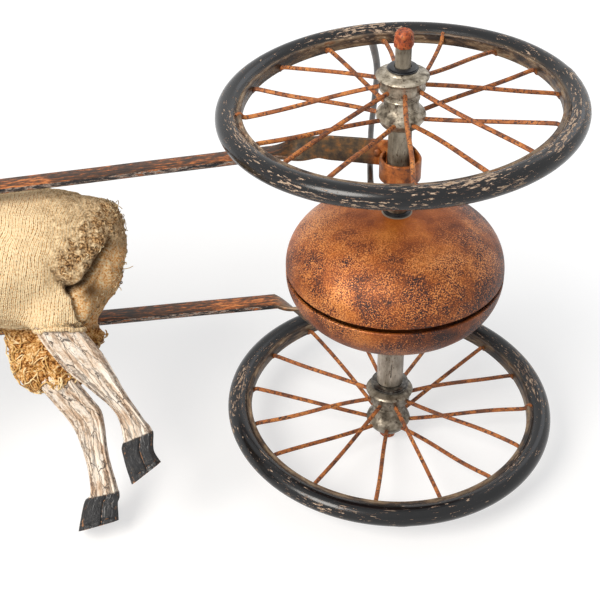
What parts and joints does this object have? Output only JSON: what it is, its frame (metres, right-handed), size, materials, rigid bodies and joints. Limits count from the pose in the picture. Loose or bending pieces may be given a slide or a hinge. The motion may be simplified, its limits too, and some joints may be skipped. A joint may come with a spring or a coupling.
{
  "type": "goat cart pull toy",
  "caption": "Pull toy: a stuffed goat between two steel shafts, drawn before a pair of wire-spoked wheels with a bell on their axle that a loose clapper strikes as they roll.",
  "frame": {"origin": "middle of the flat end of the right axle nut, which the toy rests on when it lies on its side", "axes": "+Z along the axle towards the toy's left wheel, -X towards the toy's front, +Y towards the toy's top"},
  "size_m": [0.647, 0.3371, 0.3471],
  "materials": {
    "axle_steel": "worn",
    "rusty_nut": "rusted",
    "black_washer": "gloss",
    "rusty_gong": "rusted",
    "clapper_iron": "rusted",
    "pot_metal": "worn",
    "black_rim": "chipped",
    "rusty_wire": "rusted",
    "rusty_frame": "rusted",
    "dark_rod": "worn",
    "eye_steel": "worn",
    "knitted_cloth": "matte",
    "painted_wood": "worn"
  },
  "bodies": {
    "frame": {"left_shaft": "rusty_frame", "right_shaft": "rusty_frame", "stay_rod": "dark_rod", "breast_yoke": "rusty_frame", "eye_bolt": "eye_steel"},
    "wheelset": {"axle": "axle_steel", "right_nut": "rusty_nut", "left_nut": "rusty_nut", "right_hub_washer": "black_washer", "cup_washer": "black_washer", "right_sleeve": "axle_steel", "left_sleeve": "axle_steel", "left_gong": "rusty_gong", "right_gong": "rusty_gong", "bell_washer": "black_washer", "bell_spacer": "axle_steel", "right_hub": "pot_metal", "right_rim": "black_rim", "right_spoke_01": "rusty_wire", "right_spoke_02": "rusty_wire", "right_spoke_03": "rusty_wire", "right_spoke_04": "rusty_wire", "right_spoke_05": "rusty_wire", "right_spoke_06": "rusty_wire", "right_spoke_07": "rusty_wire", "right_spoke_08": "rusty_wire", "right_spoke_09": "rusty_wire", "right_spoke_10": "rusty_wire", "right_spoke_11": "rusty_wire", "right_spoke_12": "rusty_wire", "right_spoke_13": "rusty_wire", "right_spoke_14": "rusty_wire", "right_spoke_15": "rusty_wire", "right_spoke_16": "rusty_wire"},
    "clapper": {"clapper": "clapper_iron"},
    "left_washer": {"left_hub_washer": "black_washer"},
    "left_wheel": {"left_hub": "pot_metal", "left_rim": "black_rim", "left_spoke_01": "rusty_wire", "left_spoke_02": "rusty_wire", "left_spoke_03": "rusty_wire", "left_spoke_04": "rusty_wire", "left_spoke_05": "rusty_wire", "left_spoke_06": "rusty_wire", "left_spoke_07": "rusty_wire", "left_spoke_08": "rusty_wire", "left_spoke_09": "rusty_wire", "left_spoke_10": "rusty_wire", "left_spoke_11": "rusty_wire", "left_spoke_12": "rusty_wire", "left_spoke_13": "rusty_wire", "left_spoke_14": "rusty_wire", "left_spoke_15": "rusty_wire", "left_spoke_16": "rusty_wire"},
    "goat": {"goat_body": "knitted_cloth", "goat_head": "painted_wood", "left_hind_leg": "painted_wood", "right_hind_leg": "painted_wood", "left_foreleg": "painted_wood", "right_foreleg": "painted_wood"}
  },
  "joints": [
    {"name": "wheelset_turn", "type": "hinge", "parent": "frame", "child": "wheelset", "pos_m": [0, 0, 0.1742], "axis": [0, 0, 1], "continuous": true},
    {"name": "clapper_swing", "type": "hinge", "parent": "wheelset", "child": "clapper", "pos_m": [0, 0, 0.1615], "axis": [0, 0, 1], "range_deg": [-168, 168]},
    {"name": "end_play", "type": "slide", "parent": "wheelset", "child": "left_washer", "axis": [0, 0, 1], "range_m": [0, 0.0137]},
    {"name": "left_wheel_turn", "type": "hinge", "parent": "left_washer", "child": "left_wheel", "pos_m": [0, 0, 0.299], "axis": [0, 0, 1], "continuous": true},
    {"name": "goat_roll", "type": "hinge", "parent": "frame", "child": "goat", "pos_m": [-0.436, 0.0455, 0.1742], "axis": [1, 0, 0], "range_deg": [-100, 0]}
  ]
}
